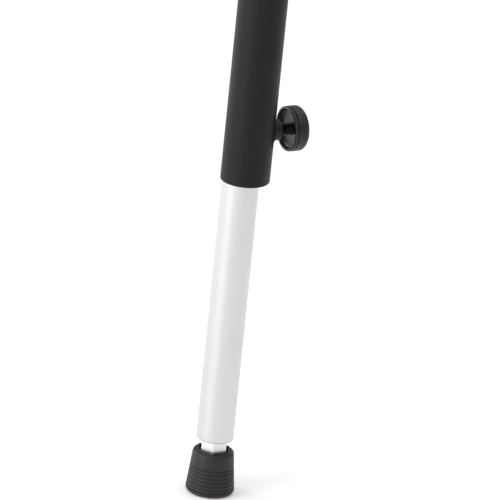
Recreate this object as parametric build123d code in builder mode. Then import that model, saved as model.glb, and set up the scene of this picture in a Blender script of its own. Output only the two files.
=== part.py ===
from build123d import *

import os

# Telescopic leg of a stand: an outer tube that screws to the stand, an inner tube clamped in it,
# and a rubber foot on a levelling stud.
#
# Millimetres. +Z runs up the leg. The origin is the centre of the foot's sole, on the inner
# tube's axis. The clamp screw lies along X and pushes the inner tube against the far side of the
# bore, so the outer tube's axis stands a little towards the knob, at +X.

# ---- driving dimensions ---------------------------------------------------------------------
OUTER_D = 32.0  # black steel tube
OUTER_WALL = 1.0
OUTER_LENGTH = 330.0
INNER_D = 24.0  # bright aluminium tube
INNER_WALL = 1.5
INNER_LENGTH = 300.0
INNER_SHOWN = 177.9  # inner tube seen below the outer tube
TUBE_EDGE = 0.35  # rounding of the tubes' cut ends

FOOT_HEIGHT = 29.0
FOOT_TOP_R = 13.2
FOOT_BASE_R = 16.0
HEX_AF = 16.0  # across flats of the levelling stud
HEX_SHOWN = 8.2  # hexagon between the rubber and the inner tube
HEX_TURN = 1.2  # degrees from +X to the nearest corner of the hexagon

STUD_R = 5.0  # M10
SCREW_R = 4.0  # M8
RUNNING_FIT = 0.05  # radial clearance of threads, drawn as plain cylinders

KNOB_R = 14.7
KNOB_THICK = 11.0
KNOB_RISE = 32.3  # clamp screw above the outer tube's lower end
KNOB_STANDOFF = 26.0  # outer tube's axis to the back of the knob's rim

# ---- places worked out from them --------------------------------------------------------------
OUTER_R = OUTER_D / 2
BORE_R = OUTER_R - OUTER_WALL
INNER_R = INNER_D / 2
INNER_BORE_R = INNER_R - INNER_WALL
OUTER_X = BORE_R - INNER_R - RUNNING_FIT
INNER_Z = FOOT_HEIGHT + HEX_SHOWN
INNER_TOP_Z = INNER_Z + INNER_LENGTH
OUTER_Z = INNER_Z + INNER_SHOWN
OUTER_TOP_Z = OUTER_Z + OUTER_LENGTH
KNOB_Z = OUTER_Z + KNOB_RISE
KNOB_X = OUTER_X + KNOB_STANDOFF
TUBE_FACE_X = OUTER_X + OUTER_R

screw_axis = Axis((0, 0, KNOB_Z), (1, 0, 0))
leg_axis = Axis((0, 0, 0), (0, 0, 1))


def screw_plane(x):
    """Plane square to the clamp screw, facing away from the tube."""
    return Plane(origin=(x, 0, KNOB_Z), x_dir=(0, 1, 0), z_dir=(1, 0, 0))


def outer_plane(z):
    """Level plane centred on the outer tube."""
    return Plane(origin=(OUTER_X, 0, z))


def inner_plane(z):
    """Level plane centred on the inner tube and the foot."""
    return Plane(origin=(0, 0, z))


def finish(part, name):
    """Label a piece and write it as one STEP file."""
    part.label = name
    export_step(part, f"parts/{name}.step")


os.makedirs("parts", exist_ok=True)

# ---- outer tube: steel, with a clearance hole for the clamp and two for the plug's screws --------
PAD_HOLE_R = 5.0
PLUG_SCREW_R = 1.9
PLUG_SCREW_DROP = 13.0  # plug's screws below the outer tube's top
plug_screw_z = OUTER_TOP_Z - PLUG_SCREW_DROP

with BuildPart() as outer_tube:
    with BuildSketch(outer_plane(OUTER_Z)):
        Circle(OUTER_R)
        Circle(BORE_R, mode=Mode.SUBTRACT)
    extrude(amount=OUTER_LENGTH)
    fillet(outer_tube.edges().filter_by(GeomType.CIRCLE), TUBE_EDGE)
    with BuildSketch(screw_plane(OUTER_X + BORE_R / 2)):
        Circle(PAD_HOLE_R)
    extrude(amount=OUTER_R, mode=Mode.SUBTRACT)
    with BuildSketch(Plane.XZ):
        with Locations((OUTER_X, plug_screw_z)):
            Circle(PLUG_SCREW_R)
    extrude(amount=OUTER_D, both=True, mode=Mode.SUBTRACT)
finish(outer_tube.part, "outer_tube")

# ---- clamp boss: threaded steel bush welded on the tube, and its bead of weld ---------------------
BOSS_R = 6.8
BOSS_PROUD = 5.0
BOSS_EDGE = 0.6
BOSS_RELIEF = 2.0  # unthreaded depth that lets the pad draw back
WELD_LEG = 1.2
boss_face_x = TUBE_FACE_X + BOSS_PROUD

with BuildPart() as clamp_boss:
    with BuildSketch(screw_plane(boss_face_x)):
        Circle(BOSS_R)
    extrude(amount=-OUTER_R)
    chamfer(clamp_boss.faces().sort_by(Axis.X)[-1].edges(), BOSS_EDGE)
    with BuildSketch(screw_plane(boss_face_x)):
        Circle(SCREW_R + RUNNING_FIT)
    extrude(amount=-OUTER_D, mode=Mode.SUBTRACT)
    with BuildSketch(screw_plane(TUBE_FACE_X + BOSS_RELIEF)):
        Circle(PAD_HOLE_R)
    extrude(amount=-OUTER_R, mode=Mode.SUBTRACT)
    with BuildSketch(outer_plane(KNOB_Z - OUTER_R)):
        Circle(OUTER_R)
    extrude(amount=OUTER_D, mode=Mode.SUBTRACT)
finish(clamp_boss.part, "clamp_boss")

with BuildPart() as boss_weld:
    with BuildSketch(screw_plane(OUTER_X)):
        Circle(BOSS_R + WELD_LEG)
        Circle(BOSS_R, mode=Mode.SUBTRACT)
    extrude(amount=OUTER_D)
    with BuildSketch(outer_plane(KNOB_Z - OUTER_R)):
        Circle(OUTER_R + WELD_LEG)
        Circle(OUTER_R, mode=Mode.SUBTRACT)
    extrude(amount=OUTER_D, mode=Mode.INTERSECT)
finish(boss_weld.part, "boss_weld")

# ---- top plug: moulded, flanged over the tube's end, with gripping fins on its stem ---------------
PLUG_FLANGE = 3.0
PLUG_EDGE = 0.8
PLUG_STEM_R = 13.6
PLUG_DEPTH = 26.0
FIN_COUNT = 5
FIN_THICK = 1.4
BUSH_R = 8.0
TOP_BUSH_LENGTH = 18.0
STUD_ROOM_R = 6.0  # bore below the bush, where the stud may come through
PILOT_R = 1.5
top_face_z = OUTER_TOP_Z + PLUG_FLANGE
fin_pitch = PLUG_DEPTH / FIN_COUNT

with BuildPart() as top_plug:
    with BuildSketch(outer_plane(OUTER_TOP_Z)):
        Circle(OUTER_R)
    extrude(amount=PLUG_FLANGE)
    chamfer(top_plug.faces().sort_by(Axis.Z)[-1].edges(), PLUG_EDGE)
    with BuildSketch(outer_plane(OUTER_TOP_Z)):
        Circle(PLUG_STEM_R)
    extrude(amount=-PLUG_DEPTH)
    for fin in range(1, FIN_COUNT + 1):
        with BuildSketch(outer_plane(OUTER_TOP_Z - fin * fin_pitch)):
            Circle(BORE_R)
        extrude(amount=FIN_THICK)
    with BuildSketch(outer_plane(top_face_z)):
        Circle(BUSH_R)
    extrude(amount=-TOP_BUSH_LENGTH, mode=Mode.SUBTRACT)
    with BuildSketch(outer_plane(top_face_z)):
        Circle(STUD_ROOM_R)
    extrude(amount=-OUTER_D, mode=Mode.SUBTRACT)
    with BuildSketch(Plane.XZ):
        with Locations((OUTER_X, plug_screw_z)):
            Circle(PILOT_R)
    extrude(amount=OUTER_D, both=True, mode=Mode.SUBTRACT)
finish(top_plug.part, "top_plug")

# ---- top bush: threaded steel insert that takes the stand's M10 stud ------------------------------
BUSH_EDGE = 0.6

with BuildPart() as top_bush:
    with BuildSketch(outer_plane(top_face_z)):
        Circle(BUSH_R)
    extrude(amount=-TOP_BUSH_LENGTH)
    chamfer(top_bush.faces().sort_by(Axis.Z)[0].edges(), BUSH_EDGE)
    with BuildSketch(outer_plane(top_face_z)):
        Circle(STUD_R)
    extrude(amount=-TOP_BUSH_LENGTH, mode=Mode.SUBTRACT)
finish(top_bush.part, "top_bush")

# ---- plug screws: two pan-headed screws through the tube into the plug ----------------------------
SCREW_HEAD_R = 3.4
SCREW_HEAD = 1.8
SCREW_HEAD_EDGE = 0.6
TIP_GAP = 0.4  # left between the screws' tips and the bush
plug_screw_tip = BUSH_R + TIP_GAP

with BuildPart() as plug_screws:
    for side in (-1, 1):
        head_plane = Plane(origin=(OUTER_X, side * OUTER_R, plug_screw_z), z_dir=(0, side, 0))
        with BuildSketch(head_plane):
            Circle(SCREW_HEAD_R)
        extrude(amount=SCREW_HEAD)
        with BuildSketch(head_plane):
            Circle(PILOT_R)
        extrude(amount=plug_screw_tip - OUTER_R)
    chamfer(plug_screws.faces().sort_by(Axis.Y)[0].edges(), SCREW_HEAD_EDGE)
    chamfer(plug_screws.faces().sort_by(Axis.Y)[-1].edges(), SCREW_HEAD_EDGE)
finish(plug_screws.part, "plug_screws")

# ---- pressure pad: nylon, hollowed to the inner tube, with a socket for the screw's tip -----------
PAD_R = 4.5
PAD_THICK = 3.6
PAD_EDGE = 0.4
TIP_R = 2.4
TIP_LENGTH = 2.0
RING_R = 3.2
RING_BORE_R = 1.9
RING_THICK = 0.5
RING_SETBACK = 1.2  # ring's face below the pad's back
PAD_HOLLOW = 1.0  # extra depth that the inner tube's hollow is cut from
pad_face_r = INNER_R + RUNNING_FIT
pad_back_x = pad_face_r + PAD_THICK
ring_x = pad_back_x - RING_SETBACK

with BuildPart() as pressure_pad:
    with BuildSketch(screw_plane(pad_back_x)):
        Circle(PAD_R)
    extrude(amount=-PAD_THICK - PAD_HOLLOW)
    chamfer(pressure_pad.faces().sort_by(Axis.X)[-1].edges(), PAD_EDGE)
    with BuildSketch(screw_plane(pad_back_x)):
        Circle(TIP_R + RUNNING_FIT)
    extrude(amount=-TIP_LENGTH - RUNNING_FIT, mode=Mode.SUBTRACT)
    with BuildSketch(screw_plane(ring_x)):
        Circle(RING_R)
    extrude(amount=-RING_THICK, mode=Mode.SUBTRACT)
    with BuildSketch(inner_plane(KNOB_Z - OUTER_R)):
        Circle(pad_face_r)
    extrude(amount=OUTER_D, mode=Mode.SUBTRACT)
finish(pressure_pad.part, "pressure_pad")

# ---- snap ring: holds the pad on the screw's tip and lets it stay still while the screw turns -----
with BuildPart() as snap_ring:
    with BuildSketch(screw_plane(ring_x)):
        Circle(RING_R)
        Circle(RING_BORE_R + RUNNING_FIT, mode=Mode.SUBTRACT)
    extrude(amount=-RING_THICK)
finish(snap_ring.part, "snap_ring")

# ---- clamp screw: M8, hexagonal head moulded round by the knob, grooved tip ----------------------
HEAD_AF = 13.0
HEAD_THICK = 5.3
COVER_R = 8.4
COVER_THICK = 1.0
SCREW_EDGE = 0.5
front_x = KNOB_X + KNOB_THICK
cover_seat_x = front_x - COVER_THICK
head_seat_x = cover_seat_x - HEAD_THICK
shoulder_x = pad_back_x + RUNNING_FIT

with BuildPart() as clamp_screw:
    with BuildSketch(screw_plane(head_seat_x)):
        RegularPolygon(HEAD_AF / 2, 6, major_radius=False)
    extrude(amount=HEAD_THICK)
    with BuildSketch(screw_plane(head_seat_x)):
        Circle(SCREW_R)
    extrude(amount=shoulder_x - head_seat_x)
    chamfer(clamp_screw.faces().sort_by(Axis.X)[0].edges(), SCREW_EDGE)
    with BuildSketch(screw_plane(shoulder_x)):
        Circle(TIP_R)
    extrude(amount=-TIP_LENGTH)
    with BuildSketch(screw_plane(ring_x + RUNNING_FIT)):
        Circle(TIP_R)
        Circle(RING_BORE_R, mode=Mode.SUBTRACT)
    extrude(amount=-RING_THICK - 2 * RUNNING_FIT, mode=Mode.SUBTRACT)
finish(clamp_screw.part, "clamp_screw")

# ---- knob: moulded, rolled front edge, grooved off from its back skirt, shallow round recess -------
FRONT_ROLL = 4.0
SKIRT_R = 14.6
SKIRT_LENGTH = 2.1
SKIRT_EDGE = 0.8
KNOB_GROOVE_R = 13.9
KNOB_GROOVE_WIDTH = 0.5
RECESS_MOUTH_R = 13.0
RECESS_FLOOR_R = 12.4
RECESS_DEPTH = 3.0
RECESS_EDGE = 0.6
skirt_end_x = KNOB_X + SKIRT_LENGTH
rim_start_x = skirt_end_x + KNOB_GROOVE_WIDTH
floor_x = KNOB_X + RECESS_DEPTH

with BuildPart() as knob:
    with BuildSketch(Plane.XZ):
        with BuildLine():
            Polyline(
                (front_x - FRONT_ROLL, KNOB_Z + KNOB_R),
                (rim_start_x, KNOB_Z + KNOB_R),
                (rim_start_x, KNOB_Z + KNOB_GROOVE_R),
                (skirt_end_x, KNOB_Z + KNOB_GROOVE_R),
                (skirt_end_x, KNOB_Z + SKIRT_R),
                (KNOB_X + SKIRT_EDGE, KNOB_Z + SKIRT_R),
                (KNOB_X, KNOB_Z + SKIRT_R - SKIRT_EDGE),
                (KNOB_X, KNOB_Z + RECESS_MOUTH_R),
                (KNOB_X + RECESS_EDGE, KNOB_Z + RECESS_FLOOR_R),
                (floor_x, KNOB_Z + RECESS_FLOOR_R),
                (floor_x, KNOB_Z),
                (front_x, KNOB_Z),
                (front_x, KNOB_Z + KNOB_R - FRONT_ROLL),
            )
            RadiusArc(
                (front_x, KNOB_Z + KNOB_R - FRONT_ROLL),
                (front_x - FRONT_ROLL, KNOB_Z + KNOB_R),
                -FRONT_ROLL,
            )
        make_face()
    revolve(axis=screw_axis)
    with BuildSketch(screw_plane(front_x)):
        Circle(COVER_R)
    extrude(amount=-COVER_THICK, mode=Mode.SUBTRACT)
    with BuildSketch(screw_plane(cover_seat_x)):
        RegularPolygon(HEAD_AF / 2, 6, major_radius=False)
    extrude(amount=-HEAD_THICK, mode=Mode.SUBTRACT)
    with BuildSketch(screw_plane(front_x)):
        Circle(SCREW_R)
    extrude(amount=-OUTER_D, mode=Mode.SUBTRACT)
finish(knob.part, "knob")

# ---- knob cover: disc snapped into the knob's front over the screw's head -------------------------
COVER_EDGE = 0.3

with BuildPart() as knob_cover:
    with BuildSketch(screw_plane(cover_seat_x)):
        Circle(COVER_R)
    extrude(amount=COVER_THICK)
    chamfer(knob_cover.faces().sort_by(Axis.X)[-1].edges(), COVER_EDGE)
finish(knob_cover.part, "knob_cover")

# ---- inner tube: aluminium, with rounded cut ends --------------------------------------------------
with BuildPart() as inner_tube:
    with BuildSketch(inner_plane(INNER_Z)):
        Circle(INNER_R)
        Circle(INNER_BORE_R, mode=Mode.SUBTRACT)
    extrude(amount=INNER_LENGTH)
    fillet(inner_tube.edges().filter_by(GeomType.CIRCLE), TUBE_EDGE)
finish(inner_tube.part, "inner_tube")

# ---- inner cap: thin flange and hollow stem in the inner tube's upper end --------------------------
CAP_R = 11.8
CAP_EDGE = 0.6
CAP_FLANGE = 2.0
CAP_STEM = 14.0
CAP_WALL = 2.0

with BuildPart() as inner_cap:
    with BuildSketch(inner_plane(INNER_TOP_Z)):
        Circle(CAP_R)
    extrude(amount=CAP_FLANGE)
    chamfer(inner_cap.faces().sort_by(Axis.Z)[-1].edges(), CAP_EDGE)
    with BuildSketch(inner_plane(INNER_TOP_Z)):
        Circle(INNER_BORE_R)
        Circle(INNER_BORE_R - CAP_WALL, mode=Mode.SUBTRACT)
    extrude(amount=-CAP_STEM)
finish(inner_cap.part, "inner_cap")

# ---- end plug and bush: nylon sleeve pressed in the inner tube, with a threaded steel bush ----------
WASHER_THICK = 1.0
HEX_SUNK = 0.8  # hexagon hidden inside the inner tube's end
END_PLUG_LENGTH = 24.0
END_RING_COUNT = 4
END_RING_DEPTH = 0.7
END_RING_WIDTH = 1.6
hex_top_z = INNER_Z + HEX_SUNK
washer_z = hex_top_z + RUNNING_FIT
end_plug_z = washer_z + WASHER_THICK + RUNNING_FIT
end_ring_pitch = END_PLUG_LENGTH / (END_RING_COUNT + 1)

with BuildPart() as end_plug:
    with BuildSketch(inner_plane(end_plug_z)):
        Circle(INNER_BORE_R)
        Circle(BUSH_R, mode=Mode.SUBTRACT)
    extrude(amount=END_PLUG_LENGTH)
    for ring in range(1, END_RING_COUNT + 1):
        with BuildSketch(inner_plane(end_plug_z + ring * end_ring_pitch)):
            Circle(INNER_BORE_R)
            Circle(INNER_BORE_R - END_RING_DEPTH, mode=Mode.SUBTRACT)
        extrude(amount=END_RING_WIDTH, mode=Mode.SUBTRACT)
finish(end_plug.part, "end_plug")

with BuildPart() as end_bush:
    with BuildSketch(inner_plane(end_plug_z)):
        Circle(BUSH_R)
        Circle(STUD_R + RUNNING_FIT, mode=Mode.SUBTRACT)
    extrude(amount=END_PLUG_LENGTH)
finish(end_bush.part, "end_bush")

# ---- stud washer: plain washer on the stud, above the hexagon --------------------------------------
WASHER_R = 9.2

with BuildPart() as stud_washer:
    with BuildSketch(inner_plane(washer_z)):
        Circle(WASHER_R)
        Circle(STUD_R + RUNNING_FIT, mode=Mode.SUBTRACT)
    extrude(amount=WASHER_THICK)
finish(stud_washer.part, "stud_washer")

# ---- levelling stud: hexagon seated in the rubber, M10 thread up into the inner tube ---------------
STUD_SEAT_Z = 9.0
STUD_THREAD = 24.0
STUD_EDGE = 0.8

with BuildPart() as levelling_stud:
    with BuildSketch(inner_plane(STUD_SEAT_Z)):
        RegularPolygon(HEX_AF / 2, 6, major_radius=False, rotation=HEX_TURN)
    extrude(amount=hex_top_z - STUD_SEAT_Z)
    with BuildSketch(inner_plane(hex_top_z)):
        Circle(STUD_R)
    extrude(amount=STUD_THREAD)
    chamfer(levelling_stud.faces().sort_by(Axis.Z)[-1].edges(), STUD_EDGE)
finish(levelling_stud.part, "levelling_stud")

# ---- foot plate: steel disc in the bottom of the rubber's socket, under the stud -------------------
PLATE_R = 9.6
PLATE_THICK = 2.0

with BuildPart() as foot_plate:
    with BuildSketch(inner_plane(STUD_SEAT_Z - PLATE_THICK)):
        Circle(PLATE_R)
    extrude(amount=PLATE_THICK)
finish(foot_plate.part, "foot_plate")

# ---- rubber foot: cone with grip grooves, a rounded lip and a hexagonal socket ---------------------
FOOT_CORNER = 3.0
FOOT_LIP = 2.2
GROOVE_COUNT = 7
GROOVE_FIRST_Z = 3.2
GROOVE_PITCH = 2.5
GROOVE_WIDTH = 0.9
GROOVE_DEPTH = 0.35
MOUTH_GAP = 1.2  # widening of the socket round the hexagon, at its mouth
MOUTH_DEPTH = 2.0
foot_taper = (FOOT_BASE_R - FOOT_TOP_R) / FOOT_HEIGHT

with BuildPart() as foot_rubber:
    with BuildSketch(Plane.XZ):
        with BuildLine():
            Polyline(
                (0, 0),
                (FOOT_BASE_R, 0),
                (FOOT_TOP_R, FOOT_HEIGHT),
                (0, FOOT_HEIGHT),
                close=True,
            )
        make_face()
    revolve(axis=leg_axis)
    rims = foot_rubber.edges().filter_by(GeomType.CIRCLE).sort_by(Axis.Z)
    fillet(rims[0], FOOT_CORNER)
    fillet(foot_rubber.edges().filter_by(GeomType.CIRCLE).sort_by(Axis.Z)[-1], FOOT_LIP)
    for groove in range(GROOVE_COUNT):
        groove_z = GROOVE_FIRST_Z + groove * GROOVE_PITCH
        with BuildSketch(inner_plane(groove_z - GROOVE_WIDTH / 2)):
            Circle(FOOT_BASE_R)
            Circle(FOOT_BASE_R - foot_taper * groove_z - GROOVE_DEPTH, mode=Mode.SUBTRACT)
        extrude(amount=GROOVE_WIDTH, mode=Mode.SUBTRACT)
    with BuildSketch(inner_plane(STUD_SEAT_Z)):
        RegularPolygon(HEX_AF / 2, 6, major_radius=False, rotation=HEX_TURN)
    extrude(amount=FOOT_HEIGHT, mode=Mode.SUBTRACT)
    with BuildSketch(inner_plane(STUD_SEAT_Z)):
        Circle(PLATE_R)
    extrude(amount=-PLATE_THICK, mode=Mode.SUBTRACT)
    with BuildSketch(inner_plane(FOOT_HEIGHT)):
        RegularPolygon(HEX_AF / 2 + MOUTH_GAP, 6, major_radius=False, rotation=HEX_TURN)
    extrude(amount=-MOUTH_DEPTH, mode=Mode.SUBTRACT)
finish(foot_rubber.part, "foot_rubber")
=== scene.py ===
import math
import bmesh
import bpy
from mathutils import Matrix, Vector


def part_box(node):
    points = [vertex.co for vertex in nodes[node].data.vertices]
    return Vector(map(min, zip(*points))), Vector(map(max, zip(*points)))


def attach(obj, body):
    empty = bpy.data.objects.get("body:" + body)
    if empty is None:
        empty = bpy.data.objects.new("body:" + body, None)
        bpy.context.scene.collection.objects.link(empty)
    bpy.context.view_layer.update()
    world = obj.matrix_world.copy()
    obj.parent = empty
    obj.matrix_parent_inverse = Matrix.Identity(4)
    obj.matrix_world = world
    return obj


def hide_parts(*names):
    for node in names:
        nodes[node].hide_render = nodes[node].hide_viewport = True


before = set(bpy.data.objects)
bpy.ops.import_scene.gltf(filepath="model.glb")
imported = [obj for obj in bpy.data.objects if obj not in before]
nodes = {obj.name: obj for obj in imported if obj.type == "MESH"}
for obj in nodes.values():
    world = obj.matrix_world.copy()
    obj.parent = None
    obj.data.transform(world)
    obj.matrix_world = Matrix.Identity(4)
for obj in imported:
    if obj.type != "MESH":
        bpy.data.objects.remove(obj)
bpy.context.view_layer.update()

# ---- Studio ------------------------------------------------------------------------------------
# A pale floor, a big overhead softbox, a tall softbox on the left and weaker ones behind, left and
# right. The camera stands far off with a long lens, looks down a little and is rolled slightly.
LOOK_ROUND = math.radians(-28.8)
LOOK_DOWN = math.radians(21.0)
LEG_LEAN = math.radians(5.8)
CAMERA_AWAY = 10.0
VIEW_WIDTH = 0.320
AIM_HEIGHT = 0.1664
AIM_ASIDE = 0.0078

tube_low, tube_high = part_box("outer_tube")
outer_x = (tube_low.x + tube_high.x) / 2

back = Vector((
    math.sin(LOOK_ROUND) * math.cos(LOOK_DOWN),
    -math.cos(LOOK_ROUND) * math.cos(LOOK_DOWN),
    math.sin(LOOK_DOWN),
))
level_right = Vector((0, 0, 1)).cross(back).normalized()
level_up = back.cross(level_right)
right = level_right * math.cos(LEG_LEAN) + level_up * math.sin(LEG_LEAN)
up = level_up * math.cos(LEG_LEAN) - level_right * math.sin(LEG_LEAN)
aim = Vector((outer_x, 0, AIM_HEIGHT)) + right * AIM_ASIDE

camera = bpy.data.objects.new("camera", bpy.data.cameras.new("camera"))
camera.data.sensor_width = 36
camera.data.lens = camera.data.sensor_width * CAMERA_AWAY / VIEW_WIDTH
camera.data.clip_end = 100
camera.matrix_world = Matrix.Translation(aim + back * CAMERA_AWAY) @ Matrix(
    (right, up, back)).transposed().to_4x4()
bpy.context.scene.collection.objects.link(camera)
bpy.context.scene.camera = camera
bpy.context.scene.view_settings.view_transform = "Standard"


def softbox(name, place, aim_at, size, watts):
    """A rectangular area light at place, facing aim_at, that the camera doesn't see."""
    lamp = bpy.data.lights.new(name, "AREA")
    lamp.shape = "RECTANGLE"
    lamp.size, lamp.size_y = size
    lamp.energy = watts
    light = bpy.data.objects.new(name, lamp)
    light.location = place
    light.rotation_euler = (Vector(aim_at) - Vector(place)).to_track_quat("-Z", "Y").to_euler()
    light.visible_camera = False
    bpy.context.scene.collection.objects.link(light)


softbox("overhead_box", (0, 0, 3.0), (0, 0, 0), (6.0, 6.0), 84)
softbox("left_box", (-2.4, -0.35, 0.9), (0, 0, 0.25), (1.5, 2.2), 38)
softbox("rear_left_box", (-1.5, 2.0, 0.8), (0, 0, 0.25), (0.8, 1.8), 18)
softbox("rear_right_box", (1.8, 1.5, 0.8), (0, 0, 0.25), (0.8, 1.8), 3)

world = bpy.data.worlds.new("studio")
world.use_nodes = True
world.node_tree.nodes["Background"].inputs["Color"].default_value = (1, 1, 1, 1)
world.node_tree.nodes["Background"].inputs["Strength"].default_value = 0.40
bpy.context.scene.world = world

FLOOR_HALF = 30.0
floor_mesh = bpy.data.meshes.new("floor")
floor_mesh.from_pydata(
    [(-FLOOR_HALF, -FLOOR_HALF, 0), (FLOOR_HALF, -FLOOR_HALF, 0),
     (FLOOR_HALF, FLOOR_HALF, 0), (-FLOOR_HALF, FLOOR_HALF, 0)], [], [(0, 1, 2, 3)])
floor = bpy.data.objects.new("floor", floor_mesh)
bpy.context.scene.collection.objects.link(floor)
floor_paint = bpy.data.materials.new("floor_paint")
floor_paint.use_nodes = True
floor_shader = floor_paint.node_tree.nodes["Principled BSDF"]
floor_shader.inputs["Base Color"].default_value = (0.9, 0.9, 0.9, 1)
floor_shader.inputs["Roughness"].default_value = 0.9
floor_shader.inputs["Specular IOR Level"].default_value = 0.1
floor_shader.inputs["Emission Color"].default_value = (1, 1, 1, 1)
floor_shader.inputs["Emission Strength"].default_value = 0.16
floor.data.materials.append(floor_paint)

# ---- Outer tube ----------------------------------------------------------------------------------
# A 32 mm steel tube, cut to length, deburred and powder-coated satin black after its boss is welded
# on. The coat has a fine orange peel, a few bare specks and dust.


def surface(name, roughness, metallic=0.0, specular=0.5):
    """A new material: returns it, its node tree and its shader, with the even values set."""
    material = bpy.data.materials.new(name)
    material.use_nodes = True
    shader = material.node_tree.nodes["Principled BSDF"]
    shader.inputs["Roughness"].default_value = roughness
    shader.inputs["Metallic"].default_value = metallic
    shader.inputs["Specular IOR Level"].default_value = specular
    return material, material.node_tree, shader


def grain(tree, size, stretch=(1, 1, 1), detail=3.0, centre=(0, 0, 0)):
    """Noise with features of about that size in metres, drawn out along an axis by stretch."""
    where = tree.nodes.new("ShaderNodeTexCoord")
    mapping = tree.nodes.new("ShaderNodeMapping")
    mapping.inputs["Location"].default_value = centre
    mapping.inputs["Scale"].default_value = [1 / (size * s) for s in stretch]
    noise = tree.nodes.new("ShaderNodeTexNoise")
    noise.inputs["Scale"].default_value = 1.0
    noise.inputs["Detail"].default_value = detail
    tree.links.new(where.outputs["Object"], mapping.inputs["Vector"])
    tree.links.new(mapping.outputs["Vector"], noise.inputs["Vector"])
    return noise.outputs["Fac"]


def between(tree, factor, low, high, start=0.3, end=0.7):
    """A number that goes from low to high as the factor goes from start to end."""
    spread = tree.nodes.new("ShaderNodeMapRange")
    spread.inputs["From Min"].default_value = start
    spread.inputs["From Max"].default_value = end
    spread.inputs["To Min"].default_value = low
    spread.inputs["To Max"].default_value = high
    tree.links.new(factor, spread.inputs["Value"])
    return spread.outputs["Result"]


def blended(tree, factor, first, second):
    """A colour between two colours or sockets."""
    mix = tree.nodes.new("ShaderNodeMix")
    mix.data_type = "RGBA"
    tree.links.new(factor, mix.inputs["Factor"])
    for socket, colour in ((mix.inputs[6], first), (mix.inputs[7], second)):
        if isinstance(colour, tuple):
            socket.default_value = (*colour, 1)
        else:
            tree.links.new(colour, socket)
    return mix.outputs[2]


def bumped(tree, shader, height, depth, strength=1.0, under=None):
    """Relief of that depth in metres on the shader, on top of another relief if one is given."""
    bump = tree.nodes.new("ShaderNodeBump")
    bump.inputs["Distance"].default_value = depth
    bump.inputs["Strength"].default_value = strength
    tree.links.new(height, bump.inputs["Height"])
    if under is not None:
        tree.links.new(under, bump.inputs["Normal"])
    tree.links.new(bump.outputs["Normal"], shader.inputs["Normal"])
    return bump.outputs["Normal"]


def specks(tree, spacing, radius):
    """1 inside small scattered specks and 0 elsewhere; spacing and radius are in metres."""
    where = tree.nodes.new("ShaderNodeTexCoord")
    cells = tree.nodes.new("ShaderNodeTexVoronoi")
    cells.inputs["Scale"].default_value = 1 / spacing
    tree.links.new(where.outputs["Object"], cells.inputs["Vector"])
    return between(tree, cells.outputs["Distance"], 1.0, 0.0, 0.6 * radius / spacing, radius / spacing)


def powder_coat(name, specular):
    """Satin black powder coat on steel."""
    material, tree, shader = surface(name, 0.5, specular=specular)
    drift = grain(tree, 0.03, detail=4.0)
    peel = grain(tree, 0.0011, detail=2.0)
    coat = blended(tree, drift, (0.0038, 0.0038, 0.0040), (0.0066, 0.0066, 0.0069))
    dust = blended(tree, specks(tree, 0.016, 0.00035), coat, (0.16, 0.16, 0.155))
    tree.links.new(dust, shader.inputs["Base Color"])
    tree.links.new(between(tree, drift, 0.44, 0.55), shader.inputs["Roughness"])
    bumped(tree, shader, peel, 0.00003, 0.7)
    return material


def coat(node, material):
    """Give a CAD node its finished material."""
    nodes[node].data.materials.clear()
    nodes[node].data.materials.append(material)


powder = powder_coat("satin_black_powder_coat", 0.26)
coat("outer_tube", powder)

# ---- Clamp boss and weld ---------------------------------------------------------------------------
# The turned steel boss is MIG-welded to the tube all round before coating, and the coat flows
# smoother on it. The bead is a row of overlapping ripples along the saddle where the two meet.
RIPPLE_COUNT = 44
RIPPLE_SIZE = (0.0011, 0.00085, 0.00085)
boss_low, boss_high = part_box("clamp_boss")
screw_z = (boss_low.z + boss_high.z) / 2
boss_radius = (boss_high.z - boss_low.z) / 2
tube_radius = (tube_high.y - tube_low.y) / 2
SCREW_LINE = Matrix(((0, 0, 1, 0), (1, 0, 0, 0), (0, 1, 0, screw_z), (0, 0, 0, 1)))


def tree_with(name, sockets):
    """A Geometry Nodes tree with a geometry in and out and the named inputs given."""
    tree = bpy.data.node_groups.new(name, "GeometryNodeTree")
    tree.interface.new_socket("Geometry", in_out="INPUT", socket_type="NodeSocketGeometry")
    for label, kind in sockets:
        tree.interface.new_socket(label, in_out="INPUT", socket_type=kind)
    tree.interface.new_socket("Geometry", in_out="OUTPUT", socket_type="NodeSocketGeometry")
    return tree, tree.nodes.new("NodeGroupInput"), tree.nodes.new("NodeGroupOutput")


def maths(tree, operation, *values):
    """A maths node; each value is a number or a socket. Returns its output."""
    made = tree.nodes.new("ShaderNodeMath")
    made.operation = operation
    for socket, value in zip(made.inputs, values):
        if isinstance(value, (int, float)):
            socket.default_value = value
        else:
            tree.links.new(value, socket)
    return made.outputs["Value"]


def closed_off(tree, geometry, group_in, group_out):
    """End a tree: real geometry in the material that the tree is given."""
    real = tree.nodes.new("GeometryNodeRealizeInstances")
    finish = tree.nodes.new("GeometryNodeSetMaterial")
    tree.links.new(geometry, real.inputs["Geometry"])
    tree.links.new(real.outputs["Geometry"], finish.inputs["Geometry"])
    tree.links.new(group_in.outputs["Material"], finish.inputs["Material"])
    tree.links.new(finish.outputs["Geometry"], group_out.inputs["Geometry"])


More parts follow.
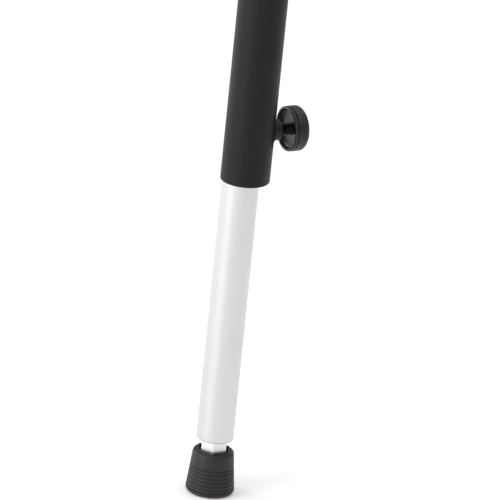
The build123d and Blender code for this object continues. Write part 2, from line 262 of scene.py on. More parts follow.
def grown(name, tree, values, start=None):
    """Run a tree on a mesh object, or on nothing, and keep the result as a plain mesh."""
    piece = start or bpy.data.objects.new(name, bpy.data.meshes.new(name))
    if start is None:
        bpy.context.scene.collection.objects.link(piece)
    modifier = piece.modifiers.new("grown", "NODES")
    modifier.node_group = tree
    keys = {s.name: s.identifier for s in tree.interface.items_tree if s.in_out == "INPUT"}
    for label, value in values.items():
        modifier[keys[label]] = value
    evaluated = piece.evaluated_get(bpy.context.evaluated_depsgraph_get())
    mesh = bpy.data.meshes.new_from_object(evaluated)
    piece.modifiers.remove(modifier)
    piece.data = mesh
    piece.name = mesh.name = name
    return piece


def smooth(piece, degrees=35):
    """Smooth shading that keeps edges sharper than the angle crisp."""
    piece.data.shade_smooth()
    piece.data.set_sharp_from_angle(angle=math.radians(degrees))
    return piece


def weld_tree():
    """Ripples along the saddle line of a boss on a tube. Local Z is the boss's axis."""
    tree, group_in, group_out = tree_with("weld_bead", (
        ("Boss radius", "NodeSocketFloat"), ("Tube radius", "NodeSocketFloat"),
        ("Ripples", "NodeSocketInt"), ("Ripple size", "NodeSocketVector"),
        ("Seed", "NodeSocketInt"), ("Material", "NodeSocketMaterial")))
    ring = tree.nodes.new("GeometryNodeCurvePrimitiveCircle")
    tree.links.new(group_in.outputs["Ripples"], ring.inputs["Resolution"])
    tree.links.new(group_in.outputs["Boss radius"], ring.inputs["Radius"])
    place = tree.nodes.new("GeometryNodeInputPosition")
    split = tree.nodes.new("ShaderNodeSeparateXYZ")
    tree.links.new(place.outputs["Position"], split.inputs["Vector"])
    across = maths(tree, "POWER", split.outputs["X"], 2)
    reach = maths(tree, "POWER", group_in.outputs["Tube radius"], 2)
    lift = maths(tree, "SQRT", maths(tree, "SUBTRACT", reach, across))
    offset = tree.nodes.new("ShaderNodeCombineXYZ")
    tree.links.new(lift, offset.inputs["Z"])
    saddle = tree.nodes.new("GeometryNodeSetPosition")
    tree.links.new(ring.outputs["Curve"], saddle.inputs["Geometry"])
    tree.links.new(offset.outputs["Vector"], saddle.inputs["Offset"])
    points = tree.nodes.new("GeometryNodeCurveToPoints")
    tree.links.new(saddle.outputs["Geometry"], points.inputs["Curve"])
    tree.links.new(group_in.outputs["Ripples"], points.inputs["Count"])
    bead = tree.nodes.new("GeometryNodeMeshUVSphere")
    bead.inputs["Segments"].default_value = 16
    bead.inputs["Rings"].default_value = 10
    bead.inputs["Radius"].default_value = 1.0
    uneven = tree.nodes.new("FunctionNodeRandomValue")
    uneven.data_type = "FLOAT"
    uneven.inputs[2].default_value = 0.88
    uneven.inputs[3].default_value = 1.08
    tree.links.new(group_in.outputs["Seed"], uneven.inputs["Seed"])
    scale = tree.nodes.new("ShaderNodeVectorMath")
    scale.operation = "SCALE"
    tree.links.new(group_in.outputs["Ripple size"], scale.inputs[0])
    tree.links.new(uneven.outputs[1], scale.inputs["Scale"])
    placed = tree.nodes.new("GeometryNodeInstanceOnPoints")
    tree.links.new(points.outputs["Points"], placed.inputs["Points"])
    tree.links.new(bead.outputs["Mesh"], placed.inputs["Instance"])
    tree.links.new(points.outputs["Rotation"], placed.inputs["Rotation"])
    tree.links.new(scale.outputs["Vector"], placed.inputs["Scale"])
    closed_off(tree, placed.outputs["Instances"], group_in, group_out)
    return tree


coat("clamp_boss", powder_coat("smooth_black_powder_coat", 0.4))
weld = grown("weld_bead", weld_tree(), {
    "Boss radius": boss_radius + 0.0002, "Tube radius": tube_radius, "Ripples": RIPPLE_COUNT,
    "Ripple size": RIPPLE_SIZE, "Seed": 5, "Material": powder})
weld.data.transform(Matrix.Translation((outer_x, 0, 0)) @ SCREW_LINE)
smooth(weld)
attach(weld, "outer_leg")
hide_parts("boss_weld")

# ---- Top plug --------------------------------------------------------------------------------------
# Injection-moulded glass-filled nylon, pressed into the tube's end. Its flange covers the cut edge
# and its fins grip the bore.


def moulded_nylon():
    """Black moulded nylon with a fine eroded texture and cloudy sheen."""
    material, tree, shader = surface("black_moulded_nylon", 0.5, specular=0.4)
    cloud = grain(tree, 0.012, detail=4.0)
    texture = grain(tree, 0.0004, detail=2.0)
    tree.links.new(blended(tree, cloud, (0.012, 0.012, 0.0125), (0.02, 0.02, 0.021)),
                   shader.inputs["Base Color"])
    tree.links.new(between(tree, cloud, 0.45, 0.6), shader.inputs["Roughness"])
    bumped(tree, shader, texture, 0.00002, 0.6)
    return material


nylon = moulded_nylon()
coat("top_plug", nylon)

# ---- Top bush --------------------------------------------------------------------------------------
# Turned steel bush, zinc plated, moulded into the plug. It has an M10 thread right through and a
# chamfered mouth that guides the stand's stud in.
THREAD_SIDES = 4
TURN_STEPS = 48
M10_PITCH = 0.0015
M10_DEPTH = 0.0007
bush_low, bush_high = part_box("top_bush")
bush_radius = (bush_high.y - bush_low.y) / 2
THREAD_OPEN = 0.0050
THREAD_INSET = 0.0015


def turned(name, rows, steps=96, start=0.0, ring=False):
    """A turned shape about local Z. A row is (radius, height); a radius may be a function of the
    angle, and a row of radius 0 is a pole. A ring closes its last row on its first."""
    verts, loops = [], []
    for radius, height in rows:
        if not callable(radius) and radius == 0:
            loops.append([len(verts)] * steps)
            verts.append((0, 0, height))
            continue
        loops.append(list(range(len(verts), len(verts) + steps)))
        for step in range(steps):
            angle = start + math.tau * step / steps
            reach = radius(angle) if callable(radius) else radius
            verts.append((reach * math.cos(angle), reach * math.sin(angle), height))
    pairs = list(zip(loops, loops[1:] + ([loops[0]] if ring else [])))
    faces = []
    for low, high in pairs:
        for step in range(steps):
            after = (step + 1) % steps
            corners = [low[step], low[after], high[after], high[step]]
            faces.append(list(dict.fromkeys(corners)))
    mesh = bpy.data.meshes.new(name)
    mesh.from_pydata(verts, [], [f for f in faces if len(f) > 2])
    work = bmesh.new()
    work.from_mesh(mesh)
    bmesh.ops.remove_doubles(work, verts=work.verts, dist=1e-7)
    bmesh.ops.recalc_face_normals(work, faces=work.faces)
    work.to_mesh(mesh)
    work.free()
    piece = bpy.data.objects.new(name, mesh)
    bpy.context.scene.collection.objects.link(piece)
    return smooth(piece)


def rounded(corners, steps=5):
    """An outline with its corners rounded: each corner is (radius, height, rounding)."""
    rows = []
    for number, (radius, height, soft) in enumerate(corners):
        here = Vector((radius, height))
        if soft == 0:
            rows.append((radius, height))
            continue
        before = Vector(corners[number - 1][:2]) - here
        after = Vector(corners[(number + 1) % len(corners)][:2]) - here
        half = before.angle(after) / 2
        cut = soft / math.tan(half)
        first, last = here + before.normalized() * cut, here + after.normalized() * cut
        inward = (before.normalized() + after.normalized()).normalized()
        middle = here + inward * (soft / math.sin(half))
        sweep = (first - middle).angle_signed(last - middle)
        for step in range(steps + 1):
            spoke = (first - middle).copy()
            spoke.rotate(Matrix.Rotation(-sweep * step / steps, 2))
            rows.append(tuple(middle + spoke))
    return rows


def thread_tree():
    """A right-hand screw thread: a V ridge wound about local Z, from height 0 upwards."""
    tree, group_in, group_out = tree_with("screw_thread", (
        ("Radius", "NodeSocketFloat"), ("Depth", "NodeSocketFloat"), ("Turns", "NodeSocketFloat"),
        ("Length", "NodeSocketFloat"), ("Material", "NodeSocketMaterial")))
    helix = tree.nodes.new("GeometryNodeCurveSpiral")
    helix.inputs["Resolution"].default_value = TURN_STEPS
    helix.inputs["Reverse"].default_value = True
    tree.links.new(group_in.outputs["Turns"], helix.inputs["Rotations"])
    tree.links.new(group_in.outputs["Radius"], helix.inputs["Start Radius"])
    tree.links.new(group_in.outputs["Radius"], helix.inputs["End Radius"])
    tree.links.new(group_in.outputs["Length"], helix.inputs["Height"])
    upright = tree.nodes.new("GeometryNodeSetCurveNormal")
    upright.mode = "Z_UP"
    tree.links.new(helix.outputs["Curve"], upright.inputs["Curve"])
    section = tree.nodes.new("GeometryNodeCurvePrimitiveCircle")
    section.inputs["Resolution"].default_value = THREAD_SIDES
    tree.links.new(group_in.outputs["Depth"], section.inputs["Radius"])
    ridge = tree.nodes.new("GeometryNodeCurveToMesh")
    ridge.inputs["Fill Caps"].default_value = True
    tree.links.new(upright.outputs["Curve"], ridge.inputs["Curve"])
    tree.links.new(section.outputs["Curve"], ridge.inputs["Profile Curve"])
    closed_off(tree, ridge.outputs["Mesh"], group_in, group_out)
    return tree


def joined(name, *pieces):
    """One mesh object from several; the first one's materials stay."""
    work = bmesh.new()
    for piece in pieces:
        work.from_mesh(piece.data)
    mesh = bpy.data.meshes.new(name)
    work.to_mesh(mesh)
    work.free()
    for material in pieces[0].data.materials:
        mesh.materials.append(material)
    whole = bpy.data.objects.new(name, mesh)
    bpy.context.scene.collection.objects.link(whole)
    for piece in pieces:
        bpy.data.objects.remove(piece)
    return smooth(whole)


def zinc_plate():
    """Bright zinc plate: pale, slightly cloudy, with fine pickling marks."""
    material, tree, shader = surface("bright_zinc_plate", 0.35, metallic=0.8)
    cloud = grain(tree, 0.004, detail=4.0)
    marks = grain(tree, 0.0005, detail=3.0)
    tree.links.new(blended(tree, cloud, (0.79, 0.80, 0.81), (0.87, 0.87, 0.86)),
                   shader.inputs["Base Color"])
    tree.links.new(between(tree, cloud, 0.32, 0.46), shader.inputs["Roughness"])
    bumped(tree, shader, marks, 0.00001, 0.5)
    return material


thread = thread_tree()
zinc = zinc_plate()


def wound(name, radius, depth, pitch, length, material):
    """A thread ridge of that length about local Z."""
    return grown(name, thread, {
        "Radius": radius, "Depth": depth, "Turns": length / pitch, "Length": length,
        "Material": material})


bush_length = bush_high.z - bush_low.z
mouth = M10_DEPTH + 0.0002
top_bush = turned("top_bush_body", rounded([
    (THREAD_OPEN, mouth, 0), (THREAD_OPEN + mouth, 0, 0.0001), (bush_radius, 0, 0.0003),
    (bush_radius, bush_length, 0.0002), (THREAD_OPEN + mouth, bush_length, 0.0001),
    (THREAD_OPEN, bush_length - mouth, 0)]), ring=True)
top_bush.data.materials.append(zinc)
top_thread = wound("top_bush_thread", THREAD_OPEN + 0.0002, M10_DEPTH, M10_PITCH,
                   bush_length - 2 * THREAD_INSET, zinc)
top_thread.data.transform(Matrix.Translation((0, 0, THREAD_INSET)))
threaded_insert = joined("threaded_insert", top_bush, top_thread)
threaded_insert.data.transform(Matrix.Translation((outer_x, 0, bush_low.z)))
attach(threaded_insert, "outer_leg")
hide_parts("top_bush")

# ---- Plug screws -------------------------------------------------------------------------------------
# Two pan-head self-tapping screws with cross recesses, black oxide on steel, through the tube and
# into the plug from opposite sides.
RECESS_ARM = 0.0019
RECESS_SLOT = 0.0005
RECESS_SINK = 0.0011
SHANK_RADIUS = 0.0012
SHANK_DEPTH = 0.0003
SHANK_PITCH = 0.0009
pins_low, pins_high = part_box("plug_screws")
head_radius = (pins_high.x - pins_low.x) / 2
head_rise = pins_high.y - tube_high.y


def black_oxide():
    """Black oxide on steel: dark, slightly brown, worn brighter in small marks."""
    material, tree, shader = surface("black_oxide_steel", 0.38, metallic=0.85)
    cloud = grain(tree, 0.002, detail=4.0)
    tree.links.new(blended(tree, cloud, (0.012, 0.0115, 0.011), (0.03, 0.029, 0.028)),
                   shader.inputs["Base Color"])
    tree.links.new(between(tree, cloud, 0.32, 0.48), shader.inputs["Roughness"])
    bumped(tree, shader, grain(tree, 0.0003), 0.00001, 0.5)
    return material


def cross_cutter():
    """A tapered cross, wider at the top, to cut the driver's recess. Its mouth is at height 0."""
    work = bmesh.new()
    for turn in (0, math.pi / 2):
        made = bmesh.ops.create_cube(work, size=1.0)["verts"]
        for vert in made:
            deep = vert.co.z < 0
            vert.co.x *= 2 * RECESS_ARM * (0.45 if deep else 1.0)
            vert.co.y *= 2 * RECESS_SLOT * (0.6 if deep else 1.0)
            vert.co.z = -RECESS_SINK if deep else 0.001
        bmesh.ops.rotate(work, verts=made, cent=(0, 0, 0), matrix=Matrix.Rotation(turn, 3, "Z"))
    mesh = bpy.data.meshes.new("cross_cutter")
    work.to_mesh(mesh)
    work.free()
    cutter = bpy.data.objects.new("cross_cutter", mesh)
    bpy.context.scene.collection.objects.link(cutter)
    return cutter


oxide = black_oxide()
pan_head = turned("pan_head", rounded([
    (0, -0.0002, 0), (head_radius, -0.0002, 0.0001), (head_radius, 0.5 * head_rise, 0.0009),
    (0.6 * head_radius, 0.97 * head_rise, 0.002), (0, head_rise, 0)]), steps=64)
pan_head.data.materials.append(oxide)
cutter = cross_cutter()
cutter.data.transform(Matrix.Translation((0, 0, head_rise)))
cut = pan_head.modifiers.new("recess", "BOOLEAN")
cut.operation, cut.solver, cut.object, cut.use_self = "DIFFERENCE", "EXACT", cutter, True
head_mesh = bpy.data.meshes.new_from_object(
    pan_head.evaluated_get(bpy.context.evaluated_depsgraph_get()))
pan_head.modifiers.remove(cut)
pan_head.data = head_mesh
bpy.data.objects.remove(cutter)
shank_length = tube_high.y - bush_high.y - 0.0005
shank = turned("screw_shank", [
    (0, 0), (SHANK_RADIUS, 0), (SHANK_RADIUS, -shank_length + 0.001), (0, -shank_length)], steps=32)
shank_thread = wound("screw_thread", SHANK_RADIUS, SHANK_DEPTH, SHANK_PITCH,
                     shank_length - 0.0015, oxide)
shank_thread.data.transform(Matrix.Translation((0, 0, -shank_length + 0.0012)))
near_screw = joined("near_screw", pan_head, shank, shank_thread)
far_screw = near_screw.copy()
far_screw.data = near_screw.data.copy()
bpy.context.scene.collection.objects.link(far_screw)
screw_place = Vector((outer_x, tube_high.y, (pins_low.z + pins_high.z) / 2))
far_screw.data.transform(Matrix.Translation(screw_place) @ Matrix.Rotation(-math.pi / 2, 4, "X"))
screw_place.y = tube_low.y
near_screw.data.transform(Matrix.Translation(screw_place) @ Matrix.Rotation(math.pi / 2, 4, "X"))
self_tappers = joined("self_tapping_screws", near_screw, far_screw)
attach(self_tappers, "outer_leg")
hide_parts("plug_screws")

# ---- Clamp screw ---------------------------------------------------------------------------------
# M8 screw with a hexagonal head that the knob is moulded round. Its tip is turned down and
# grooved for the snap ring that keeps the pad on.
M8_PITCH = 0.00125
M8_DEPTH = 0.00058
HEAD_FLATS = 0.013
clamp_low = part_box("clamp_screw")[0]
pad_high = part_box("pressure_pad")[1]
knob_low, knob_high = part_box("knob")
cover_low, cover_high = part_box("knob_cover")
HEAD_THICK = 0.0053
TIP_RADIUS = 0.0024
TIP_NECK = 0.0019
M8_RADIUS = 0.004


def hexagon(flats, corner=1.0, turn=0.0):
    """Radius of a hexagon at an angle, for its width across flats, with its corners taken down to
    that share of their full radius."""
    def reach(angle):
        aside = (angle - turn) % (math.pi / 3) - math.pi / 6
        return min(flats / 2 / math.cos(aside), corner * flats / math.sqrt(3))
    return reach


head_seat = cover_low.x - HEAD_THICK
shoulder = pad_high.x + 0.00005
ring_low, ring_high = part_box("snap_ring")
core = M8_RADIUS - M8_DEPTH
clamp_core = turned("clamp_core", [
    (0, clamp_low.x), (TIP_RADIUS - 0.0003, clamp_low.x), (TIP_RADIUS, clamp_low.x + 0.0003),
    (TIP_RADIUS, ring_low.x - 0.00005), (TIP_NECK, ring_low.x - 0.00005),
    (TIP_NECK, ring_high.x + 0.00005), (TIP_RADIUS, ring_high.x + 0.00005),
    (TIP_RADIUS, shoulder), (core - 0.0004, shoulder), (core, shoulder + 0.0004),
    (core, head_seat), (hexagon(HEAD_FLATS, 0.97), head_seat),
    (hexagon(HEAD_FLATS, 0.97), cover_low.x), (0, cover_low.x)], steps=72)
clamp_core.data.materials.append(oxide)
clamp_thread = wound("clamp_thread", core, M8_DEPTH, M8_PITCH, head_seat - shoulder - 0.0016, oxide)
clamp_thread.data.transform(Matrix.Translation((0, 0, shoulder + 0.0008)))
screw = joined("m8_clamp_screw", clamp_core, clamp_thread)
screw.data.transform(SCREW_LINE)
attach(screw, "clamp_knob")
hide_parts("clamp_screw")

# ---- Knob ----------------------------------------------------------------------------------------
# Moulded black satin plastic. The rim is lightly fluted for grip, a groove parts it from a plain
# rounded skirt, and the back has a shallow round recess with a smooth floor.
FLUTE_COUNT = 60
FLUTE_DEPTH = 0.0002
KNOB_STEPS = 10 * FLUTE_COUNT
SKIRT_RADIUS = 0.0146
SKIRT_LENGTH = 0.0021
NECK_RADIUS = 0.0139
NECK_WIDTH = 0.0005
RECESS_MOUTH = 0.0130
RECESS_FLOOR = 0.0124
RECESS_DEPTH = 0.0030
rim = (knob_high.z - knob_low.z) / 2
skirt_end = knob_low.x + SKIRT_LENGTH
rim_start = skirt_end + NECK_WIDTH
floor_x = knob_low.x + RECESS_DEPTH
front = knob_high.x
cover_radius = (cover_high.z - cover_low.z) / 2


def flute_tree():
    """Flutes round a turned rim. Local Z is its axis; only points outside a radius move."""
    tree, group_in, group_out = tree_with("rim_flutes", (
        ("Flutes", "NodeSocketInt"), ("Depth", "NodeSocketFloat"), ("Outside", "NodeSocketFloat"),
        ("Band start", "NodeSocketFloat"), ("Band end", "NodeSocketFloat"),
        ("Fade", "NodeSocketFloat"), ("Material", "NodeSocketMaterial")))
    place = tree.nodes.new("GeometryNodeInputPosition")
    split = tree.nodes.new("ShaderNodeSeparateXYZ")
    tree.links.new(place.outputs["Position"], split.inputs["Vector"])
    east, north, height = (split.outputs[axis] for axis in "XYZ")
    angle = maths(tree, "ARCTAN2", north, east)
    wave = maths(tree, "COSINE", maths(tree, "MULTIPLY", angle, group_in.outputs["Flutes"]))
    hollow = maths(tree, "POWER", maths(tree, "MULTIPLY_ADD", wave, 0.5, 0.5), 2.0)
    reach = maths(tree, "SQRT", maths(
        tree, "ADD", maths(tree, "POWER", east, 2), maths(tree, "POWER", north, 2)))
    outside = maths(tree, "GREATER_THAN", reach, group_in.outputs["Outside"])
    rise = maths(tree, "DIVIDE", maths(tree, "SUBTRACT", height, group_in.outputs["Band start"]),
                 group_in.outputs["Fade"])
    fall = maths(tree, "DIVIDE", maths(tree, "SUBTRACT", group_in.outputs["Band end"], height),
                 group_in.outputs["Fade"])
    band = maths(tree, "MINIMUM", rise, fall)
    held = maths(tree, "MAXIMUM", maths(tree, "MINIMUM", band, 1.0), 0.0)
    deep = maths(tree, "MULTIPLY", maths(tree, "MULTIPLY", held, outside), hollow)
    inward = maths(tree, "DIVIDE", maths(
        tree, "MULTIPLY", deep, maths(tree, "MULTIPLY", group_in.outputs["Depth"], -1.0)), reach)
    offset = tree.nodes.new("ShaderNodeCombineXYZ")
    tree.links.new(maths(tree, "MULTIPLY", east, inward), offset.inputs["X"])
    tree.links.new(maths(tree, "MULTIPLY", north, inward), offset.inputs["Y"])
    moved = tree.nodes.new("GeometryNodeSetPosition")
    tree.links.new(group_in.outputs["Geometry"], moved.inputs["Geometry"])
    tree.links.new(offset.outputs["Vector"], moved.inputs["Offset"])
    closed_off(tree, moved.outputs["Geometry"], group_in, group_out)
    return tree


def knob_plastic():
    """Satin black plastic with an eroded mould texture and handling shine."""
    material, tree, shader = surface("satin_black_plastic", 0.38, specular=0.45)
    cloud = grain(tree, 0.006, detail=4.0)
    tree.links.new(blended(tree, cloud, (0.005, 0.005, 0.0053), (0.009, 0.009, 0.0094)),
                   shader.inputs["Base Color"])
    tree.links.new(between(tree, cloud, 0.32, 0.44), shader.inputs["Roughness"])
    bumped(tree, shader, grain(tree, 0.00035), 0.000015, 0.6)
    return material


plastic = knob_plastic()
head_pocket = hexagon(HEAD_FLATS)
knob_outline = rounded([
    (M8_RADIUS, floor_x, 0), (RECESS_FLOOR, floor_x, 0.0018), (RECESS_MOUTH, knob_low.x, 0.0004),
    (SKIRT_RADIUS, knob_low.x, 0.0009), (SKIRT_RADIUS, skirt_end, 0.0003),
    (NECK_RADIUS, skirt_end, 0.0001), (NECK_RADIUS, rim_start, 0.0001), (rim, rim_start, 0.0003),
    (rim, front, 0.0040), (cover_radius + 0.0001, front, 0.0002),
    (cover_radius + 0.0001, cover_low.x, 0)], steps=8)
knob_rows = knob_outline + [(head_pocket, cover_low.x), (head_pocket, head_seat),
                            (M8_RADIUS, head_seat)]
knob_body = turned("hand_knob", knob_rows, steps=KNOB_STEPS, ring=True)
hand_knob = grown("hand_knob", flute_tree(), {
    "Flutes": FLUTE_COUNT, "Depth": FLUTE_DEPTH, "Outside": 0.0143,
    "Band start": rim_start + 0.0003, "Band end": front - 0.0022, "Fade": 0.0012,
    "Material": plastic}, start=knob_body)
smooth(hand_knob)
hand_knob.data.transform(SCREW_LINE)
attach(hand_knob, "clamp_knob")
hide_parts("knob")

# ---- Knob cover ------------------------------------------------------------------------------------
# A thin moulded disc, slightly dished and glossier than the knob, snapped in over the screw's head.


def cover_plastic():
    """Semi-gloss black plastic with a fine mould texture."""
    material, tree, shader = surface("semi_gloss_black_plastic", 0.28, specular=0.5)
    cloud = grain(tree, 0.003, detail=3.0)
    tree.links.new(blended(tree, cloud, (0.009, 0.009, 0.010), (0.015, 0.015, 0.016)),
                   shader.inputs["Base Color"])
    tree.links.new(between(tree, cloud, 0.24, 0.34), shader.inputs["Roughness"])
    bumped(tree, shader, grain(tree, 0.0006), 0.000008, 0.5)
    return material


cap_disc = turned("snap_cover", rounded([
    (0, cover_low.x + 0.00005, 0), (cover_radius, cover_low.x + 0.00005, 0.0001),
    (cover_radius, cover_high.x, 0.0003), (cover_radius - 0.0012, cover_high.x, 0.0003),
    (cover_radius - 0.0016, cover_high.x - 0.0003, 0.0003), (0, cover_high.x - 0.0002, 0)]))
cap_disc.data.materials.append(cover_plastic())
cap_disc.data.transform(SCREW_LINE)
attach(cap_disc, "clamp_knob")
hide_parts("knob_cover")

# ---- Pressure pad and snap ring ----------------------------------------------------------------------
# A natural nylon pad, hollowed to the inner tube so that the clamp doesn't mark it, and the spring
# steel ring that holds it on the screw's tip.


def natural_nylon():
    """Uncoloured nylon: ivory, slightly cloudy."""
    material, tree, shader = surface("natural_nylon", 0.5, specular=0.45)
    cloud = grain(tree, 0.003, detail=4.0)
    tree.links.new(blended(tree, cloud, (0.72, 0.67, 0.54), (0.82, 0.78, 0.66)),
                   shader.inputs["Base Color"])
    bumped(tree, shader, grain(tree, 0.0005), 0.00001, 0.5)
    return material


def spring_steel():
    """Plain spring steel, darkened by heat treatment."""
    material, tree, shader = surface("spring_steel", 0.35, metallic=1.0)
    cloud = grain(tree, 0.0015, detail=3.0)
    tree.links.new(blended(tree, cloud, (0.34, 0.33, 0.33), (0.48, 0.47, 0.46)),
                   shader.inputs["Base Color"])
    bumped(tree, shader, grain(tree, 0.0004), 0.000008, 0.5)
    return material


coat("pressure_pad", natural_nylon())
coat("snap_ring", spring_steel())

# ---- Inner tube ------------------------------------------------------------------------------------
# Drawn 24 mm aluminium tube with a satin anodised finish. Drawing leaves fine lines along it, and
# sliding in the outer tube leaves a few long faint scuffs.
inner_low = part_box("inner_tube")[0]


def satin_aluminium():
    """Satin anodised aluminium with lines and scuffs along Z, and painted shade on its bottom edge."""
    material, tree, shader = surface("satin_anodised_aluminium", 0.36, metallic=1.0)
    lines = grain(tree, 0.00035, stretch=(1, 1, 220), detail=2.0)
    scuffs = grain(tree, 0.0012, stretch=(1, 1, 60), detail=3.0, centre=(3, 1, 0))
    cloud = grain(tree, 0.02, detail=4.0)
    drawn = blended(tree, lines, (0.655, 0.66, 0.665), (0.715, 0.72, 0.725))
    worn = blended(tree, between(tree, scuffs, 0.0, 0.5, 0.62, 0.8), drawn, (0.79, 0.79, 0.79))
    where = tree.nodes.new("ShaderNodeTexCoord")
    split = tree.nodes.new("ShaderNodeSeparateXYZ")
    tree.links.new(where.outputs["Object"], split.inputs["Vector"])
    # Painted shade: the bottom 0.4 mm of the tube is coloured grey, fading out by 0.8 mm, standing in
    # for the shade along its lower rim.
    painted_edge_shade = between(tree, split.outputs["Z"], 1.0, 0.0, inner_low.z + 0.0004, inner_low.z + 0.0008)
    edge_shaded = blended(tree, painted_edge_shade, worn, (0.42, 0.42, 0.42))
    tree.links.new(edge_shaded, shader.inputs["Base Color"])
    tree.links.new(between(tree, cloud, 0.34, 0.42), shader.inputs["Roughness"])
    fine = bumped(tree, shader, lines, 0.000006, 0.6)
    bumped(tree, shader, scuffs, 0.00001, 0.3, under=fine)
    return material


coat("inner_tube", satin_aluminium())
coat("inner_cap", nylon)
coat("end_plug", nylon)

# ---- End bush and washer -----------------------------------------------------------------------------
# A zinc-plated steel bush pressed in the nylon end plug takes the levelling stud's thread. A plain
# washer lies on the stud's hexagon and closes the plug when the foot is screwed right in.
END_OPEN = 0.00535
END_MOUTH = 0.0060
end_low, end_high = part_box("end_bush")
end_length = end_high.z - end_low.z
end_body = turned("end_bush_body", rounded([
    (END_OPEN, 0.0009, 0), (END_MOUTH, 0, 0.0001), (end_high.x, 0, 0.0003),
    (end_high.x, end_length, 0.0003), (END_MOUTH, end_length, 0.0001),
    (END_OPEN, end_length - 0.0009, 0)]), ring=True)
end_body.data.materials.append(zinc)
end_thread = wound("end_bush_thread", END_OPEN + 0.0003, M10_DEPTH, M10_PITCH,
                   end_length - 2 * THREAD_INSET, zinc)
end_thread.data.transform(Matrix.Translation((0, 0, THREAD_INSET)))
end_insert = joined("end_insert", end_body, end_thread)
end_insert.data.transform(Matrix.Translation((0, 0, end_low.z)))
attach(end_insert, "inner_leg")
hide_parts("end_bush")
coat("stud_washer", zinc)

# ---- Levelling stud --------------------------------------------------------------------------------
# Hexagon steel, 16 mm across flats, turned down and threaded M10 above, zinc plated. The hexagon's
# ends are chamfered and its corners are crisp, as on bright drawn bar.
HEX_FLATS = 0.016
HEX_TURN = math.radians(1.2)
HEX_CHAMFER = 0.0006
stud_low, stud_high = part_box("levelling_stud")
hex_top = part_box("stud_washer")[0].z - 0.00005
stud_core = THREAD_OPEN - M10_DEPTH
hex_corner = hexagon(HEX_FLATS, 1.0, HEX_TURN)
hex_end = hexagon(HEX_FLATS, 0.90, HEX_TURN)
stud_body = turned("stud_body", [
    (0, stud_low.z), (hex_end, stud_low.z), (hex_corner, stud_low.z + HEX_CHAMFER),
    (hex_corner, hex_top - HEX_CHAMFER), (hex_end, hex_top),
    (stud_core, hex_top), (stud_core, stud_high.z - 0.0008),
    (stud_core - 0.0008, stud_high.z), (0, stud_high.z)], steps=120, start=HEX_TURN)
stud_body.data.materials.append(zinc)
stud_thread = wound("stud_thread", stud_core, M10_DEPTH, M10_PITCH,
                    stud_high.z - hex_top - 0.0025, zinc)
stud_thread.data.transform(Matrix.Translation((0, 0, hex_top + 0.0012)))
hex_stud = smooth(joined("hex_levelling_stud", stud_body, stud_thread), 12)
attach(hex_stud, "levelling_foot")
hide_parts("levelling_stud")
coat("foot_plate", zinc)

# ---- Rubber foot -----------------------------------------------------------------------------------
# Moulded black rubber, pushed over the stud's hexagon. The lower half has ring grooves for grip, the
# top is rounded over, the socket is hexagonal with a raised lip, and the sole has ring treads.
FOOT_TOP_RADIUS = 0.0132
FOOT_BASE_RADIUS = 0.0160
GROOVE_COUNT = 7
GROOVE_FIRST = 0.0032
GROOVE_PITCH = 0.0025
GROOVE_HALF = 0.0006
GROOVE_DEPTH = 0.0005
LIP_RISE = 0.0007
MOUTH_GAP = 0.0024
MOUTH_DEPTH = 0.0020
foot_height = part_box("foot_rubber")[1].z
plate_low, plate_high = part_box("foot_plate")


def flank(height):
    """Radius of the foot's cone at a height."""
    return FOOT_BASE_RADIUS - (FOOT_BASE_RADIUS - FOOT_TOP_RADIUS) * height / foot_height


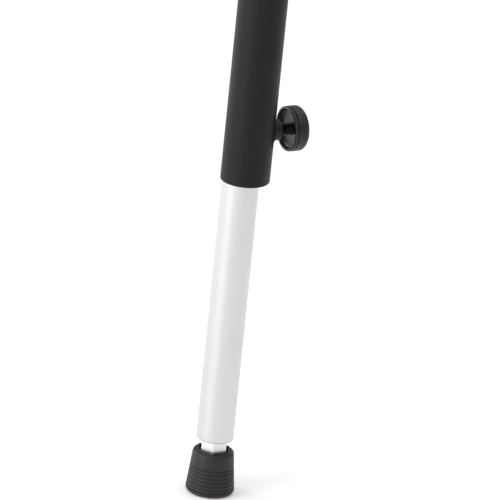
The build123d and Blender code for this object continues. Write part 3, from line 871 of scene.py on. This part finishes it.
def foot_outline():
    """The foot's outside from the sole's centre to the top's rounded lip."""
    corners = [(0, 0.0006, 0), (0.0040, 0.0006, 0.0002), (0.0043, 0, 0.0002)]
    for tread in (0.0065, 0.0090, 0.0115):
        corners += [(tread - 0.0005, 0, 0.0002), (tread - 0.0002, 0.0006, 0.0002),
                    (tread + 0.0002, 0.0006, 0.0002), (tread + 0.0005, 0, 0.0002)]
    corners.append((FOOT_BASE_RADIUS, 0, 0.0030))
    for groove in range(GROOVE_COUNT):
        middle = GROOVE_FIRST + groove * GROOVE_PITCH
        corners += [(flank(middle - GROOVE_HALF), middle - GROOVE_HALF, 0.00025),
                    (flank(middle) - GROOVE_DEPTH, middle - 0.4 * GROOVE_HALF, 0.00015),
                    (flank(middle) - GROOVE_DEPTH, middle + 0.2 * GROOVE_HALF, 0.00015),
                    (flank(middle + GROOVE_HALF), middle + GROOVE_HALF, 0.00025)]
    corners.append((FOOT_TOP_RADIUS, foot_height, 0.0022))
    corners.append((0.0112, foot_height, 0))
    return rounded(corners, steps=4)


def moulded_rubber():
    """Matt black rubber with a fine grain, paler with dust in scattered patches."""
    material, tree, shader = surface("moulded_black_rubber", 0.55, specular=0.5)
    cloud = grain(tree, 0.005, detail=4.0)
    dust = grain(tree, 0.0015, detail=4.0, centre=(2, 5, 1))
    body = blended(tree, cloud, (0.006, 0.006, 0.0063), (0.010, 0.010, 0.0104))
    dusty = blended(tree, between(tree, dust, 0.0, 0.35, 0.5, 0.75), body, (0.026, 0.0255, 0.0245))
    tree.links.new(dusty, shader.inputs["Base Color"])
    tree.links.new(between(tree, cloud, 0.46, 0.58), shader.inputs["Roughness"])
    bumped(tree, shader, grain(tree, 0.0006, detail=3.0), 0.00003, 0.6)
    return material


def about_socket(wider):
    """Outline of the hexagonal socket, made wider across its flats."""
    return hexagon(HEX_FLATS + wider, 1.0, HEX_TURN)


foot_rows = foot_outline() + [
    (about_socket(MOUTH_GAP + 0.0022), foot_height),
    (about_socket(MOUTH_GAP + 0.0019), foot_height + 0.6 * LIP_RISE),
    (about_socket(MOUTH_GAP + 0.0015), foot_height + 0.93 * LIP_RISE),
    (about_socket(MOUTH_GAP + 0.0010), foot_height + LIP_RISE),
    (about_socket(MOUTH_GAP + 0.0004), foot_height + LIP_RISE),
    (about_socket(MOUTH_GAP), foot_height + 0.7 * LIP_RISE),
    (about_socket(MOUTH_GAP), foot_height - MOUTH_DEPTH),
    (about_socket(0.0001), foot_height - MOUTH_DEPTH), (about_socket(0.0001), plate_high.z),
    (plate_high.x, plate_high.z), (plate_high.x, plate_low.z), (0, plate_low.z)]
rubber_foot = turned("ribbed_rubber_foot", foot_rows, steps=180, start=HEX_TURN)
rubber_foot.data.materials.append(moulded_rubber())
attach(rubber_foot, "levelling_foot")
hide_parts("foot_rubber")
